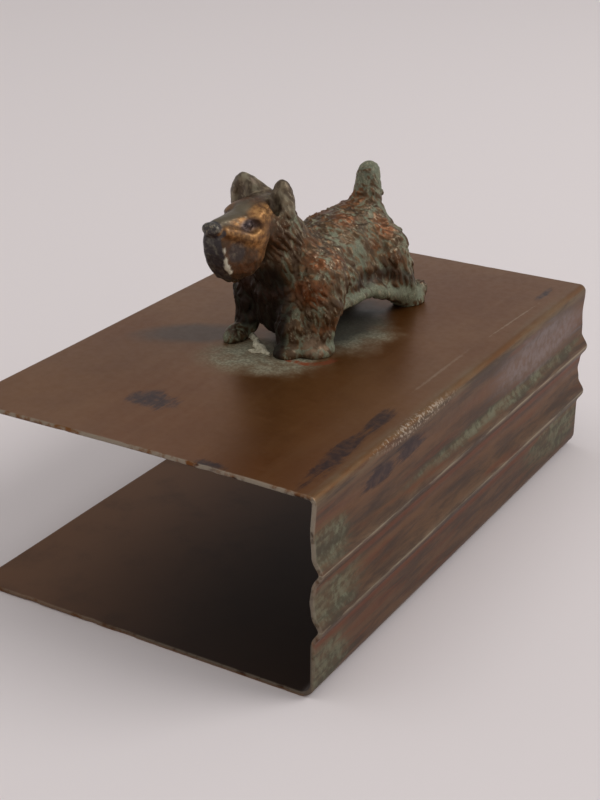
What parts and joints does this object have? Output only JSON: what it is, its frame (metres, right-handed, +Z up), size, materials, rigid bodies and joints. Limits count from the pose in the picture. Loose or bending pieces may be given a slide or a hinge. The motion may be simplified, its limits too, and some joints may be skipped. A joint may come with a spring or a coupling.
{
  "type": "desk blotter-slip holder",
  "caption": "Bent-sheet bronze channel, open on three sides, that keeps blotting slips on a desk, with a cast terrier screwed to its top as the handle.",
  "frame": {"origin": "middle of the underside of the object's bounding box, on the surface that it stands on", "axes": "+Z up, +Y along the spine from the dog's nose towards its tail, +X towards the spine"},
  "size_m": [0.0811, 0.127, 0.0791],
  "materials": {
    "bronze_sheet": "aged satin-gloss brown patina, scuffed and green-grey in the folds",
    "cast_bronze": "aged cast bronze, copper-brown on the high points and verdigris in the grooves",
    "fixing_brass": "dull tarnished brass"
  },
  "bodies": {
    "root": {"folded_cover": "bronze_sheet", "terrier_casting": "cast_bronze", "front_screw": "fixing_brass", "rear_screw": "fixing_brass", "front_washer": "fixing_brass", "rear_washer": "fixing_brass"}
  },
  "joints": []
}
